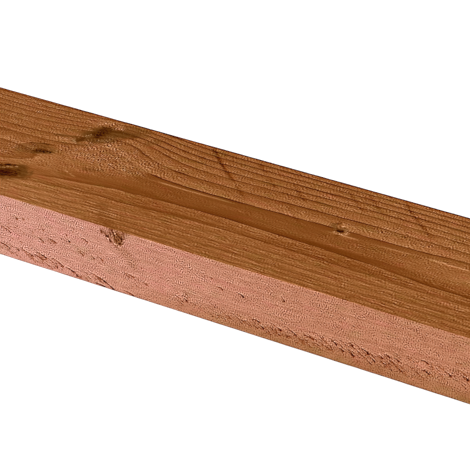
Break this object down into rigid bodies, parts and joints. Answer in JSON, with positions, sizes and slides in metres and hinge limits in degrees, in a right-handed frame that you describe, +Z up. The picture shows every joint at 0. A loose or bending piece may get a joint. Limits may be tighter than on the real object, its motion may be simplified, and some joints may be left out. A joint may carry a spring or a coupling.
{
  "type": "softwood beam",
  "caption": "Rough-sawn reddish-brown softwood beam, rectangular in section with rubbed arrises and square-cut ends, for framing, joists and general carpentry.",
  "frame": {"origin": "middle of the wide face that the beam lies on", "axes": "+X along the grain, +Y across the wide faces, +Z up through the thickness"},
  "size_m": [2.4, 0.15, 0.05],
  "materials": {
    "sawn_softwood": "matte"
  },
  "bodies": {
    "root": {"beam": "sawn_softwood"}
  },
  "joints": []
}
